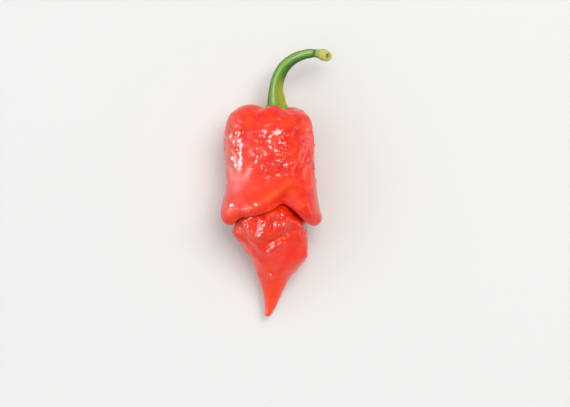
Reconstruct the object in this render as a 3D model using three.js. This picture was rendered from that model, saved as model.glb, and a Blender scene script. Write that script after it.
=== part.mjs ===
// A ripe red chilli of the wrinkled, hooded kind, lying on its side with its green stem curving away.
//
// Units are millimetres. The pod lies along Y, its stem towards +Y and its tail towards -Y, and it rests
// on the plane z = 0. A station is a distance from the shoulder crest towards the tail tip. A bearing is
// an angle round the pod in degrees: 0 faces +X, 90 faces up and 270 faces down.
// The finished group is moved so that its origin is under the middle of the object's box.

import * as THREE from "three";
import { mergeVertices } from "three/addons/utils/BufferGeometryUtils.js";

// Driving dimensions
const POD_LENGTH = 61.1; // shoulder crest to tail tip
const BARREL_RADIUS = 12.8; // half the width between the shoulders and the hood
const HOOD_RADIUS = 14.2; // half the width where the hood flares over the tail
const HEM_STATION = 34.2; // where the hood's hem hangs, away from its notches
const FOLD_DEPTH = 4.6; // how far the fold runs back up under the hood
const TAIL_RADIUS = 10.5; // half the width of the tail just below the hood
const HEIGHT_SHARE = 0.93; // the pod's height as a share of its width
const BARREL_SQUARENESS = 2.6; // the barrel's section: 2 is round and more is squarer
const HOLLOW_DEPTH = 2.5; // how deep the hollow under the calyx lies below the shoulder crest
const HOLLOW_SIDEWAYS = 2; // how far the hollow and the stem sit to the right of the pod's middle
const SEAT_GAP = 0.35; // clearance between the calyx and the hollow that it sits in
const CALYX_RADIUS = 3.3; // half the width of the green collar on the fruit
const STEM_RADIUS = 1.8; // half the thickness of the stalk before it tapers
const CUT_SLANT = 1.1; // how steeply the stalk's free end is broken off, as a rise over a run

// Mesh fineness
const POD_SEGMENTS = 68;
const POD_RINGS = 84;
const STEM_SEGMENTS = 22;
const STEM_RINGS = 56;

// The pod's outline from the hollow under the stem to the tail tip. Each row is a radius, a station, how
// fully the point follows the wavy hem, and how much it belongs to the barrel (1) or to the tail (0).
const OUTLINE = [
  [0, HOLLOW_DEPTH, 0, 1],
  [2.4, HOLLOW_DEPTH - 0.05, 0, 1],
  [4.5, HOLLOW_DEPTH - 0.7, 0, 1],
  [6.2, 0.5, 0, 1],
  [8.0, 0, 0, 1],
  [9.9, 0.9, 0, 1],
  [11.6, 3.0, 0, 1],
  [BARREL_RADIUS, 7.2, 0, 1],
  [BARREL_RADIUS + 0.15, 12, 0, 1],
  [BARREL_RADIUS, 17, 0.04, 1],
  [BARREL_RADIUS + 0.1, 21.5, 0.25, 1],
  [BARREL_RADIUS + 0.5, 25.4, 0.6, 1],
  [HOOD_RADIUS - 0.2, 28.8, 0.9, 1],
  [HOOD_RADIUS, 31.6, 1, 1],
  [HOOD_RADIUS - 0.7, 33.5, 1, 1],
  [HOOD_RADIUS - 2.0, HEM_STATION, 1, 0.9],
  [HOOD_RADIUS - 3.2, HEM_STATION - 1, 1, 0.7],
  [TAIL_RADIUS - 0.25, HEM_STATION - 0.72 * FOLD_DEPTH, 1, 0.5],
  [TAIL_RADIUS - 1.05, HEM_STATION - FOLD_DEPTH, 0.95, 0.35],
  [TAIL_RADIUS - 1.5, HEM_STATION - 0.7 * FOLD_DEPTH, 0.85, 0.15],
  [TAIL_RADIUS - 0.6, HEM_STATION - 0.7, 0.55, 0],
  [TAIL_RADIUS, 36.6, 0.22, 0],
  [TAIL_RADIUS - 1.15, 39.8, 0.04, 0],
  [8.3, 43, 0, 0],
  [6.55, 46.3, 0, 0],
  [4.7, 49.4, 0, 0],
  [3.4, 52.4, 0, 0],
  [2.3, 55.6, 0, 0],
  [1.4, 58.8, 0, 0],
  [0.95, POD_LENGTH - 0.65, 0, 0],
  [0, POD_LENGTH, 0, 0],
];

// Where the middle of the pod runs: sideways and height, each against the station.
const AXIS_SIDEWAYS = [
  [0, -0.3],
  [12, -0.25],
  [22, 0.3],
  [36, 0.15],
  [40, 1.25],
  [44, 2.2],
  [46.5, 2.0],
  [49, 1.2],
  [54, 0.7],
  [58, 0.1],
  [POD_LENGTH, -0.8],
];
const AXIS_HEIGHT = [
  [0, 11.9],
  [7, 11.8],
  [15, 12.2],
  [23, 12.35],
  [31, 12.75],
  [36, 12.2],
  [42, 10.2],
  [48, 7.8],
  [54, 5.8],
  [POD_LENGTH, 4.4],
];

// The station of the hood's hem at bearings round the pod: two big lobes over a deep notch on top, and
// shallower ones underneath.
const HEM = [
  [3, 34.6],
  [16, 35.1],
  [28, 34.9],
  [38, 33.9],
  [46, 32.4],
  [55, 30.5],
  [63, 28.9],
  [72, 28.0],
  [88, 29.9],
  [112, 31.6],
  [130, 32.1],
  [146, 34.6],
  [166, 34.4],
  [190, 33.0],
  [212, 30.6],
  [232, 32.6],
  [250, 34.4],
  [270, 33.2],
  [290, 34.4],
  [310, 33.4],
  [328, 30.8],
  [346, 33.2],
];

// How high the shoulder crest stands round the stem, over the plane of station 0.
const SHOULDER_CREST = [
  [12, -1.2],
  [40, -1.6],
  [66, -1.4],
  [90, -0.3],
  [112, -0.9],
  [140, 0.2],
  [185, -0.6],
  [225, 0.3],
  [262, -0.9],
  [300, 0.2],
  [340, -0.6],
];

// Lengthwise furrows. Each has the bearing it follows and its depth at stations along the pod, and how
// wide it is in degrees.
const BARREL_FURROWS = [
  {
    bearing: [[0, 66], [7, 50], [16, 49], [22, 56], [26, 66], [31, 74]],
    depth: [[0, 0.7], [8, 0.5], [16, 0.5], [22, 0.8], [27, 1.5], [32, 1.2], [35, 0.9]],
    width: 14,
  },
  {
    bearing: [[0, 108], [7, 117], [20, 121], [34, 124]],
    depth: [[0, 0.8], [8, 0.4], [19, 0.2], [24, 0], [34, 0]],
    width: 11,
  },
  {
    bearing: [[0, 185], [14, 196], [35, 212]],
    depth: [[0, 0.8], [14, 0.7], [26, 0.9], [35, 1.4]],
    width: 17,
  },
  {
    bearing: [[0, 262], [12, 268], [35, 270]],
    depth: [[0, 0.5], [7, 0], [20, 0.3], [26, 1.2], [35, 1.4]],
    width: 13,
  },
  {
    bearing: [[0, 340], [14, 334], [35, 328]],
    depth: [[0, 0.7], [14, 0.5], [26, 0.8], [35, 1.3]],
    width: 16,
  },
];
const TAIL_FURROWS = [
  {
    bearing: [[28, 152], [33, 149], [39, 138], [45, 134]],
    depth: [[28, 0.4], [34, 0.5], [38, 0.5], [41, 0.15], [45, 0]],
    width: 8,
  },
  {
    bearing: [[30, 56], [38, 62], [43, 71], [46, 82], [52, 92]],
    depth: [[30, 0.2], [36, 0.4], [43, 0.8], [47, 0.5], [53, 0]],
    width: 13,
  },
  {
    bearing: [[30, 232], [48, 248]],
    depth: [[30, 0.8], [40, 0.9], [50, 0.2]],
    width: 18,
  },
  {
    bearing: [[30, 318], [48, 306]],
    depth: [[30, 0.7], [40, 0.8], [50, 0.15]],
    width: 17,
  },
];

// Ridges, lumps and creases as strokes on the skin: a start and an end (bearing, station), a height, which
// is negative for a crease, and a half-width.
const BARREL_STROKES = [
  { from: [108, 28.8], to: [67, 22.0], height: 0.8, width: 1.6 },
  { from: [120, 28], to: [74, 24], height: -0.8, width: 3.4 },
  { from: [100, 30.2], to: [72, 26.2], height: -0.3, width: 0.9 },
  { from: [118, 24.8], to: [84, 19.4], height: -0.45, width: 2.2 },
  { from: [138, 28.6], to: [146, 31], height: 0.4, width: 2.2 },
  { from: [20, 33.4], to: [0, 32.9], height: 0.85, width: 2.4 },
  { from: [29, 3], to: [32, 22], height: 0.55, width: 1.6 },
  { from: [148, 13], to: [160, 24], height: -0.35, width: 2.6 },
  { from: [122, 4], to: [123, 18], height: 0.4, width: 1.7 },
  { from: [8, 8], to: [2, 20], height: -0.35, width: 2.4 },
  { from: [224, 6], to: [236, 22], height: 0.4, width: 3.2 },
  { from: [308, 8], to: [300, 20], height: 0.35, width: 3.0 },
  { from: [214, 20], to: [228, 27], height: -0.4, width: 2.0 },
  { from: [246, 26], to: [245, 31.5], height: 0.4, width: 3.2 },
  { from: [294, 26], to: [295, 31.5], height: 0.4, width: 3.2 },
  { from: [346, 22], to: [318, 26], height: 0.4, width: 2.2 },
];
const TAIL_STROKES = [
  { from: [128, 33.2], to: [121, 35.8], height: 0.85, width: 1.1 },
  { from: [104, 36.6], to: [109, 37.8], height: 0.85, width: 1.05 },
  { from: [112, 33.6], to: [112, 36.4], height: -0.45, width: 0.9 },
  { from: [99, 33.0], to: [96, 34.2], height: 0.8, width: 1.0 },
  { from: [91, 30.6], to: [89, 31.6], height: 0.5, width: 1.4 },
  { from: [84, 32.8], to: [88, 36.2], height: -0.5, width: 1.0 },
  { from: [75, 30.2], to: [72, 31.6], height: 0.6, width: 1.3 },
  { from: [72, 35.0], to: [60, 32.6], height: 0.75, width: 1.0 },
  { from: [99, 39.2], to: [67, 37.0], height: -1.0, width: 0.9 },
  { from: [98, 41.2], to: [74, 39.6], height: 0.7, width: 1.05 },
  { from: [60, 36.2], to: [42, 34.8], height: -0.45, width: 1.1 },
  { from: [64, 31.0], to: [36, 34.0], height: 1.1, width: 2.0 },
  { from: [150, 31.4], to: [116, 31.6], height: 1.2, width: 2.0 },
  { from: [43, 37.2], to: [39, 38], height: 0.5, width: 1.4 },
  { from: [118, 39.6], to: [115, 41.6], height: 0.6, width: 1.2 },
  { from: [112, 43.6], to: [104, 43.2], height: -0.35, width: 0.9 },
  { from: [98, 44.4], to: [96, 45.6], height: 0.45, width: 1.3 },
  { from: [112, 48.8], to: [92, 48.6], height: 0.35, width: 0.9 },
  { from: [136, 43.4], to: [130, 45.4], height: 0.35, width: 1.2 },
  { from: [160, 33.4], to: [150, 37.6], height: 0.7, width: 1.5 },
  { from: [26, 39.6], to: [24, 42.6], height: 0.9, width: 2.4 },
  { from: [180, 36], to: [184, 39], height: 0.4, width: 1.6 },
  { from: [200, 36], to: [212, 42], height: 0.6, width: 2.0 },
  { from: [262, 36], to: [278, 41], height: 0.6, width: 2.2 },
  { from: [296, 38], to: [262, 39.4], height: -0.45, width: 1.0 },
  { from: [340, 36], to: [346, 41], height: 0.5, width: 2.0 },
  { from: [196, 41.6], to: [176, 45], height: -0.35, width: 1.0 },
];

// The blistered skin: rounded bumps of one spacing in every direction, strongest high on the barrel and
// on the tail, and pressed out where the pod rests.
const BLISTER_SPACING = 3.4;
const BLISTER_WAVES = 7;
const BLISTER_HEIGHT = [
  [0, 0.03],
  [2.6, 0.06],
  [6, 0.2],
  [19, 0.2],
  [24, 0.07],
  [33, 0.07],
  [38, 0.17],
  [47, 0.1],
  [POD_LENGTH, 0.02],
];
const PRESSED_HEIGHT = 1.4; // blisters fade out below this height

// The stalk's middle line from the fruit outwards: sideways, outwards from the crest plane, and height.
const STALK_PATH = [
  [HOLLOW_SIDEWAYS, SEAT_GAP - HOLLOW_DEPTH, 11.9],
  [2.0, 0, 12.0],
  [1.85, 2.2, 12.25],
  [1.75, 4.2, 12.5],
  [2.0, 6.3, 12.8],
  [2.7, 8.6, 13.05],
  [4.1, 11.1, 13.2],
  [6.2, 13.0, 13.25],
  [8.9, 14.35, 13.2],
  [12.2, 15.0, 13.05],
  [15.0, 14.65, 12.8],
  [16.75, 14.2, 12.5],
];

// The stem's outline: a radius against the share of the stalk's path, from the underside of the calyx
// round its rim, in at the neck, along the stalk, over a fine groove and the swollen end, and into the pit
// of the broken face.
const STEM_OUTLINE = [
  [0, 0],
  [1.6, 0],
  [CALYX_RADIUS - 0.8, 0.012],
  [CALYX_RADIUS, 0.046],
  [CALYX_RADIUS - 0.25, 0.076],
  [CALYX_RADIUS - 0.6, 0.096],
  [CALYX_RADIUS - 0.72, 0.111],
  [CALYX_RADIUS - 0.62, 0.127],
  [STEM_RADIUS + 0.65, 0.162],
  [STEM_RADIUS + 0.3, 0.215],
  [STEM_RADIUS + 0.1, 0.28],
  [STEM_RADIUS, 0.37],
  [STEM_RADIUS - 0.15, 0.5],
  [STEM_RADIUS - 0.35, 0.62],
  [STEM_RADIUS - 0.5, 0.73],
  [STEM_RADIUS - 0.58, 0.81],
  [STEM_RADIUS - 0.75, 0.8446],
  [STEM_RADIUS - 0.62, 0.868],
  [STEM_RADIUS - 0.58, 0.895],
  [STEM_RADIUS - 0.22, 0.925],
  [STEM_RADIUS - 0.12, 0.955],
  [STEM_RADIUS - 0.35, 0.986],
  [STEM_RADIUS - 0.75, 1],
  [STEM_RADIUS - 1.15, 0.99],
  [STEM_RADIUS - 1.45, 0.966],
  [0, 0.958],
];
const STALK_RIBS = 5;
const STALK_RIB_HEIGHT = 0.12;
const CALYX_RIB_HEIGHT = 0.22;
const STALK_TWIST = 1.1; // radians from the fruit to the free end

const podSkin = new THREE.MeshStandardMaterial({ color: 0xdf2a1c, roughness: 0.28, metalness: 0 });
const stemSkin = new THREE.MeshStandardMaterial({ color: 0x6d9a35, roughness: 0.45, metalness: 0 });

// A row of numbers on the smooth curve through rows, where t counts rows. The radius, which comes first,
// is mirrored past the ends, so that the curve meets the axis square.
function onOutline(rows, t) {
  const mirrored = (row) => [-row[0], ...row.slice(1)];
  const at = (i) => {
    if (i < 0) return mirrored(rows[-i]);
    return i < rows.length ? rows[i] : mirrored(rows[2 * rows.length - 2 - i]);
  };
  const i = Math.min(Math.floor(t), rows.length - 2);
  const u = t - i;
  return rows[0].map((_, k) => {
    const [a, b, c, d] = [at(i - 1)[k], at(i)[k], at(i + 1)[k], at(i + 2)[k]];
    return b + 0.5 * u * (c - a + u * (2 * a - 5 * b + 4 * c - d + u * (3 * (b - c) + d - a)));
  });
}

// How far along rows each of count evenly spaced points lies, measured by radius and station.
function evenlySpaced(rows, count) {
  const steps = 600;
  const lengths = [0];
  let last = onOutline(rows, 0);
  for (let i = 1; i <= steps; i++) {
    const next = onOutline(rows, ((rows.length - 1) * i) / steps);
    lengths.push(lengths[i - 1] + Math.hypot(next[0] - last[0], next[1] - last[1]));
    last = next;
  }
  let i = 1;
  return Array.from({ length: count + 1 }, (_, n) => {
    const wanted = (lengths[steps] * n) / count;
    while (i < steps && lengths[i] < wanted) i++;
    const share = (wanted - lengths[i - 1]) / (lengths[i] - lengths[i - 1]);
    return ((rows.length - 1) * (i - 1 + share)) / steps;
  });
}

// A smooth value at x through keys of [x, value], held level outside them.
function through(keys, x) {
  if (x <= keys[0][0]) return keys[0][1];
  const last = keys.length - 1;
  if (x >= keys[last][0]) return keys[last][1];
  let i = 0;
  while (keys[i + 1][0] < x) i++;
  const slope = (a, b) => (b[1] - a[1]) / (b[0] - a[0]);
  const step = keys[i + 1][0] - keys[i][0];
  const rise = slope(keys[Math.max(i - 1, 0)], keys[i + 1]) * step;
  const fall = slope(keys[i], keys[Math.min(i + 2, last)]) * step;
  const u = (x - keys[i][0]) / step;
  const [low, high] = [keys[i][1], keys[i + 1][1]];
  const mixed = low * (1 + 2 * u) * (1 - u) ** 2 + high * (3 - 2 * u) * u * u;
  return mixed + rise * u * (1 - u) ** 2 - fall * u * u * (1 - u);
}

// The same round the whole pod, where the keys' bearings run once round.
function roundThrough(keys, bearing) {
  const turn = (by) => (key) => [key[0] + by, key[1]];
  const wrapped = [...keys.slice(-2).map(turn(-360)), ...keys, ...keys.slice(0, 2).map(turn(360))];
  return through(wrapped, THREE.MathUtils.euclideanModulo(bearing, 360));
}

const turnBetween = (a, b) => THREE.MathUtils.euclideanModulo(a - b + 180, 360) - 180;

function furrowDepth(furrows, bearing, station) {
  return furrows.reduce((sum, furrow) => {
    const away = turnBetween(bearing, through(furrow.bearing, station)) / furrow.width;
    return sum + through(furrow.depth, station) * Math.exp(-away * away);
  }, 0);
}

// How high the strokes stand at a point, with the skin unrolled at that radius.
function strokeHeight(strokes, bearing, station, radius) {
  const arc = (radius * Math.PI) / 180;
  return strokes.reduce((sum, { from, to, height, width }) => {
    const across = arc * turnBetween(to[0], from[0]);
    const along = to[1] - from[1];
    const x = arc * turnBetween(bearing, from[0]);
    const y = station - from[1];
    const share = THREE.MathUtils.clamp((x * across + y * along) / (across ** 2 + along ** 2), 0, 1);
    const away = Math.hypot(x - share * across, y - share * along) / width;
    return sum + height * Math.exp(-away * away);
  }, 0);
}

// Plane waves of one length in directions spread over a sphere add up to evenly spaced bumps.
function blisters(point) {
  const golden = Math.PI * (3 - Math.sqrt(5));
  let sum = 0;
  for (let i = 0; i < BLISTER_WAVES; i++) {
    const up = (i + 0.5) / BLISTER_WAVES;
    const out = Math.sqrt(1 - up * up);
    const reach = point.x * out * Math.cos(golden * i) + point.y * out * Math.sin(golden * i) + point.z * up;
    sum += Math.cos((2 * Math.PI * reach) / BLISTER_SPACING + 1.7 * i);
  }
  return sum / Math.sqrt(BLISTER_WAVES);
}

// The pod's skin at a place on its outline and a bearing, before its underside is pressed flat.
function podPoint(t, bearing) {
  const [radius, station, hemShare, barrelShare] = onOutline(OUTLINE, t);
  const spread = THREE.MathUtils.smoothstep(Math.abs(radius), 0, 5);
  const crest = Math.exp(-((station / 2.4) ** 2)) * THREE.MathUtils.smoothstep(radius, 3.5, 8);
  const hung = hemShare * (roundThrough(HEM, bearing) - HEM_STATION);
  const placed = station + hung - crest * roundThrough(SHOULDER_CREST, bearing);
  const barrel =
    strokeHeight(BARREL_STROKES, bearing, placed, radius) - furrowDepth(BARREL_FURROWS, bearing, placed);
  const tail =
    strokeHeight(TAIL_STROKES, bearing, placed, radius) - furrowDepth(TAIL_FURROWS, bearing, placed);
  const angle = THREE.MathUtils.degToRad(bearing);
  const across = Math.abs(Math.cos(angle)) ** BARREL_SQUARENESS;
  const upright = Math.abs(Math.sin(angle)) ** BARREL_SQUARENESS;
  const squared = radius * ((across + upright) ** (-1 / BARREL_SQUARENESS) - 1);
  const shaped = radius + spread * (barrelShare * (barrel + squared) + (1 - barrelShare) * tail);
  const hollow = HOLLOW_SIDEWAYS * (1 - THREE.MathUtils.smoothstep(t, 3, 6));
  return new THREE.Vector3(
    through(AXIS_SIDEWAYS, placed) + hollow + shaped * Math.cos(angle),
    -placed,
    through(AXIS_HEIGHT, placed) + HEIGHT_SHARE * shaped * Math.sin(angle),
  );
}

// A closed ball of rings and segments, its vertices merged, to be moved into shape. Each vertex of the
// result says its ring and the angle round its axis.
function blank(segments, rings) {
  const ball = new THREE.SphereGeometry(1, segments, rings);
  ball.deleteAttribute("normal");
  ball.deleteAttribute("uv");
  return mergeVertices(ball, 1e-6);
}

function shape(geometry, rings, place) {
  const position = geometry.attributes.position;
  const vertex = new THREE.Vector3();
  for (let i = 0; i < position.count; i++) {
    vertex.fromBufferAttribute(position, i);
    const ring = Math.round((Math.acos(THREE.MathUtils.clamp(vertex.y, -1, 1)) / Math.PI) * rings);
    const angle = Math.atan2(vertex.z, vertex.x);
    const moved = place(ring, angle);
    position.setXYZ(i, moved.x, moved.y, moved.z);
  }
  geometry.computeVertexNormals();
  return geometry;
}

function makePod() {
  const places = evenlySpaced(OUTLINE, POD_RINGS);
  const geometry = shape(blank(POD_SEGMENTS, POD_RINGS), POD_RINGS, (ring, angle) =>
    podPoint(places[ring], THREE.MathUtils.radToDeg(angle)),
  );
  const position = geometry.attributes.position;
  const normal = geometry.attributes.normal;
  const point = new THREE.Vector3();
  const outwards = new THREE.Vector3();
  for (let i = 0; i < position.count; i++) {
    point.fromBufferAttribute(position, i);
    outwards.fromBufferAttribute(normal, i);
    const fade = THREE.MathUtils.smoothstep(point.z, 0.2, PRESSED_HEIGHT);
    const height = fade * through(BLISTER_HEIGHT, -point.y) * blisters(point);
    point.addScaledVector(outwards, height);
    position.setXYZ(i, point.x, point.y, Math.max(point.z, 0));
  }
  const pod = new THREE.Mesh(geometry, podSkin);
  pod.name = "pod";
  return pod;
}

function makeStem() {
  const path = new THREE.CatmullRomCurve3(
    STALK_PATH.map(([sideways, out, height]) => new THREE.Vector3(sideways, out, height)),
  );
  const length = path.getLength();
  const rows = STEM_OUTLINE.map(([radius, share]) => [radius, share * length]);
  const places = evenlySpaced(rows, STEM_RINGS);
  const up = new THREE.Vector3(0, 0, 1);
  const geometry = shape(blank(STEM_SEGMENTS, STEM_RINGS), STEM_RINGS, (ring, angle) => {
    const [radius, reach] = onOutline(rows, places[ring]);
    const share = THREE.MathUtils.clamp(reach / length, 0, 1);
    const ahead = path.getTangentAt(share);
    const side = new THREE.Vector3().crossVectors(up, ahead).normalize();
    const top = new THREE.Vector3().crossVectors(ahead, side);
    const collar = 1 - THREE.MathUtils.smoothstep(share, 0.08, 0.11);
    const ribHeight = THREE.MathUtils.lerp(STALK_RIB_HEIGHT, CALYX_RIB_HEIGHT, collar);
    const rib = ribHeight * Math.cos(STALK_RIBS * angle + STALK_TWIST * share);
    const round = radius + rib * THREE.MathUtils.smoothstep(radius, 0.5, 1.2);
    const broken = CUT_SLANT * THREE.MathUtils.smoothstep(share, 0.862, 0.98) * round * Math.sin(angle);
    return path
      .getPointAt(share)
      .addScaledVector(ahead, reach - share * length - broken)
      .addScaledVector(side, round * Math.cos(angle))
      .addScaledVector(top, round * Math.sin(angle));
  });
  const stem = new THREE.Mesh(geometry, stemSkin);
  stem.name = "stem";
  return stem;
}

const chilli = new THREE.Group();
chilli.add(makePod(), makeStem());
const box = new THREE.Box3().setFromObject(chilli);
const middle = box.getCenter(new THREE.Vector3());
chilli.position.set(-middle.x, -middle.y, -box.min.z);

export default chilli;
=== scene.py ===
import itertools
import math

import bmesh
import bpy
import numpy as np
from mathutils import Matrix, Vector


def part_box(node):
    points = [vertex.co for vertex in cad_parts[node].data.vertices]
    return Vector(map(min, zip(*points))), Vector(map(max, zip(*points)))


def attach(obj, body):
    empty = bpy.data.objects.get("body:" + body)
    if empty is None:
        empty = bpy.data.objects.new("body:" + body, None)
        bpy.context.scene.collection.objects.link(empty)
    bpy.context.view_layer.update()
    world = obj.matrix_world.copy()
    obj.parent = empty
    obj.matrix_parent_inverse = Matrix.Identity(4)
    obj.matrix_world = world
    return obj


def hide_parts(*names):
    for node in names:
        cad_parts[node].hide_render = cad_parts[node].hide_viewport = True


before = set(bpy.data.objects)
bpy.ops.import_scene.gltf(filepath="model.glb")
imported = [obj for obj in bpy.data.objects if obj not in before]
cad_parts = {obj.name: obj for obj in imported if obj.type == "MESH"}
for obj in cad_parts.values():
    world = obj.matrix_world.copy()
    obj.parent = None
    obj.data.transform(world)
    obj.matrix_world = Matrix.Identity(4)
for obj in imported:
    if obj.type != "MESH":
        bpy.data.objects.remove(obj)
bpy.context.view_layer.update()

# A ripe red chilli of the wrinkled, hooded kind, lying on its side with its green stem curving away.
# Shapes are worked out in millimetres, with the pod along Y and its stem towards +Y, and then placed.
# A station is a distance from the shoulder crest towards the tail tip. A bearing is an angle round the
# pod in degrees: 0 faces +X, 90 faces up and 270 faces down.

MM = 0.001
FRUIT_PLACE = (-1.8756, 22.4010)  # where the pod's axis and shoulder crest lie in the finished frame

# Pod dimensions
POD_LENGTH = 61.1
BARREL_RADIUS = 12.8
HOOD_RADIUS = 14.2
HEM_STATION = 34.2
FOLD_DEPTH = 4.6
TAIL_RADIUS = 10.5
HEIGHT_SHARE = 0.93
BARREL_SQUARENESS = 2.6
HOLLOW_DEPTH = 2.5
HOLLOW_SIDEWAYS = 2
SEAT_GAP = 0.35
POD_SEGMENTS = 288
POD_RINGS = 320

# Stem dimensions
CALYX_RADIUS = 3.3
STEM_RADIUS = 1.8
CUT_SLANT = 1.1
STEM_SEGMENTS = 72
STEM_RINGS = 300

# Each row is a radius, a station, how fully the point follows the wavy hem, and how much it belongs to
# the barrel (1) or to the tail (0).
OUTLINE = [
    (0, HOLLOW_DEPTH, 0, 1),
    (2.4, HOLLOW_DEPTH - 0.05, 0, 1),
    (4.5, HOLLOW_DEPTH - 0.7, 0, 1),
    (6.2, 0.5, 0, 1),
    (8.0, 0, 0, 1),
    (9.9, 0.9, 0, 1),
    (11.6, 3.0, 0, 1),
    (BARREL_RADIUS, 7.2, 0, 1),
    (BARREL_RADIUS + 0.15, 12, 0, 1),
    (BARREL_RADIUS, 17, 0.04, 1),
    (BARREL_RADIUS + 0.1, 21.5, 0.25, 1),
    (BARREL_RADIUS + 0.5, 25.4, 0.6, 1),
    (HOOD_RADIUS - 0.2, 28.8, 0.9, 1),
    (HOOD_RADIUS, 31.6, 1, 1),
    (HOOD_RADIUS - 0.7, 33.5, 1, 1),
    (HOOD_RADIUS - 2.0, HEM_STATION, 1, 0.9),
    (HOOD_RADIUS - 3.2, HEM_STATION - 1, 1, 0.7),
    (TAIL_RADIUS - 0.25, HEM_STATION - 0.72 * FOLD_DEPTH, 1, 0.5),
    (TAIL_RADIUS - 1.05, HEM_STATION - FOLD_DEPTH, 0.95, 0.35),
    (TAIL_RADIUS - 1.5, HEM_STATION - 0.7 * FOLD_DEPTH, 0.85, 0.15),
    (TAIL_RADIUS - 0.6, HEM_STATION - 0.7, 0.55, 0),
    (TAIL_RADIUS, 36.6, 0.22, 0),
    (TAIL_RADIUS - 1.15, 39.8, 0.04, 0),
    (8.3, 43, 0, 0),
    (6.55, 46.3, 0, 0),
    (4.7, 49.4, 0, 0),
    (3.4, 52.4, 0, 0),
    (2.3, 55.6, 0, 0),
    (1.4, 58.8, 0, 0),
    (0.95, POD_LENGTH - 0.65, 0, 0),
    (0, POD_LENGTH, 0, 0),
]
# How closely the rings lie, by row of the outline: few in the hidden hollow and fold.
RING_DENSITY = [
    (0, 0.4), (3, 0.6), (5, 1.1), (14, 1.1), (16, 0.7), (18, 0.45), (19.5, 0.6), (21, 1.2), (30, 1.0),
]
# Radii between which the strokes and furrows come in, barrel shares between which the outer skin begins,
# and how far up the sides the wrinkled upper side begins.
SPREAD_RADII = (0, 5)
OUTSIDE_SHARES = (0.8, 1.0)
UPPER_SIDE = (0, 0.2)
# Rows of the outline between which the hollow opens out, the hidden fold begins and ends, and the tail
# comes clear of the hood, and the middle and reach of the rows that stay smooth inside the fold.
HOLLOW_OPENS = (3, 6)
FOLD_BEGINS = (15, 16)
FOLD_ENDS = (19.4, 20.4)
TAIL_CLEARS = (19.2, 20.4)
FOLD_MIDDLE = 18
FOLD_REACH = 1.6

# The pod's middle line by station, and the wavy hem and shoulder crest by bearing.
AXIS_SIDEWAYS = [
    (0, -0.3), (12, -0.25), (22, 0.3), (36, 0.15), (40, 1.25), (44, 2.2), (46.5, 2.0), (49, 1.2), (54, 0.7),
    (58, 0.1), (POD_LENGTH, -0.8),
]
AXIS_HEIGHT = [
    (0, 11.9), (7, 11.8), (15, 12.2), (23, 12.35), (31, 12.75), (36, 12.2), (42, 10.2), (48, 7.8), (54, 5.8),
    (POD_LENGTH, 4.4),
]
HEM = [
    (3, 34.2), (16, 34.4), (28, 34.2), (38, 33.4), (46, 32.2), (55, 30.5), (63, 28.9), (72, 28.0),
    (88, 29.9), (112, 31.6), (130, 32.1), (146, 34.0), (166, 33.8), (190, 32.8), (212, 30.6), (232, 32.6),
    (250, 34.4), (270, 33.2), (290, 34.4), (310, 33.4), (328, 30.8), (346, 33.2),
]
SHOULDER_CREST = [
    (12, -1.2), (40, -1.6), (66, -1.4), (90, -0.3), (112, -0.9), (140, 0.2), (185, -0.6), (225, 0.3),
    (262, -0.9), (300, 0.2), (340, -0.6),
]
# How far the shoulder crest reaches along the pod, and the radii between which it rises.
CREST_LENGTH = 2.4
CREST_STARTS = (3.5, 8)

# Furrows: the bearing followed, the depth by station, and the half-width in degrees.
BARREL_FURROWS = [
    ([(0, 66), (7, 50), (16, 49), (22, 56), (26, 66), (31, 74)],
     [(0, 0.7), (8, 0.5), (16, 0.5), (22, 0.8), (27, 1.5), (32, 1.2), (35, 0.9)], 14),
    ([(0, 108), (7, 117), (20, 121), (34, 124)],
     [(0, 0.8), (8, 0.4), (19, 0.2), (24, 0), (34, 0)], 11),
    ([(0, 185), (14, 196), (35, 212)], [(0, 0.8), (14, 0.7), (26, 0.9), (35, 1.4)], 17),
    ([(0, 262), (12, 268), (35, 270)], [(0, 0.5), (7, 0), (20, 0.3), (26, 1.2), (35, 1.4)], 13),
    ([(0, 340), (14, 334), (35, 328)], [(0, 0.7), (14, 0.5), (26, 0.8), (35, 1.3)], 16),
]
TAIL_FURROWS = [
    ([(28, 152), (33, 149), (39, 138), (45, 134)],
     [(28, 0.4), (34, 0.5), (38, 0.5), (41, 0.15), (45, 0)], 8),
    ([(30, 56), (38, 62), (43, 71), (46, 82), (52, 92)],
     [(30, 0.2), (36, 0.4), (43, 0.8), (47, 0.5), (53, 0)], 13),
    ([(30, 232), (48, 248)], [(30, 0.8), (40, 0.9), (50, 0.2)], 18),
    ([(30, 318), (48, 306)], [(30, 0.7), (40, 0.8), (50, 0.15)], 17),
]

# Ridges, lumps and creases: a start and an end (bearing, station), a height and a half-width.
ROLL_RIDGE = ((108, 28.8), (67, 22.0), 0.85, 1.35)
BARREL_STROKES = [
    ROLL_RIDGE,
    ((120, 28), (74, 24), -0.8, 3.4),
    ((100, 30.2), (72, 26.2), -0.45, 0.9),
    ((118, 24.8), (84, 19.4), -0.45, 2.2),
    ((138, 28.6), (146, 31), 0.4, 2.2),
    ((20, 33.4), (0, 32.9), 0.85, 2.4),
    ((29, 3), (32, 22), 0.55, 1.6),
    ((148, 13), (160, 24), -0.35, 2.6),
    ((122, 4), (123, 18), 0.4, 1.7),
    ((8, 8), (2, 20), -0.35, 2.4),
    ((224, 6), (236, 22), 0.4, 3.2),
    ((308, 8), (300, 20), 0.35, 3.0),
    ((214, 20), (228, 27), -0.4, 2.0),
    ((246, 26), (245, 31.5), 0.4, 3.2),
    ((294, 26), (295, 31.5), 0.4, 3.2),
    ((346, 22), (318, 26), 0.4, 2.2),
]
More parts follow.
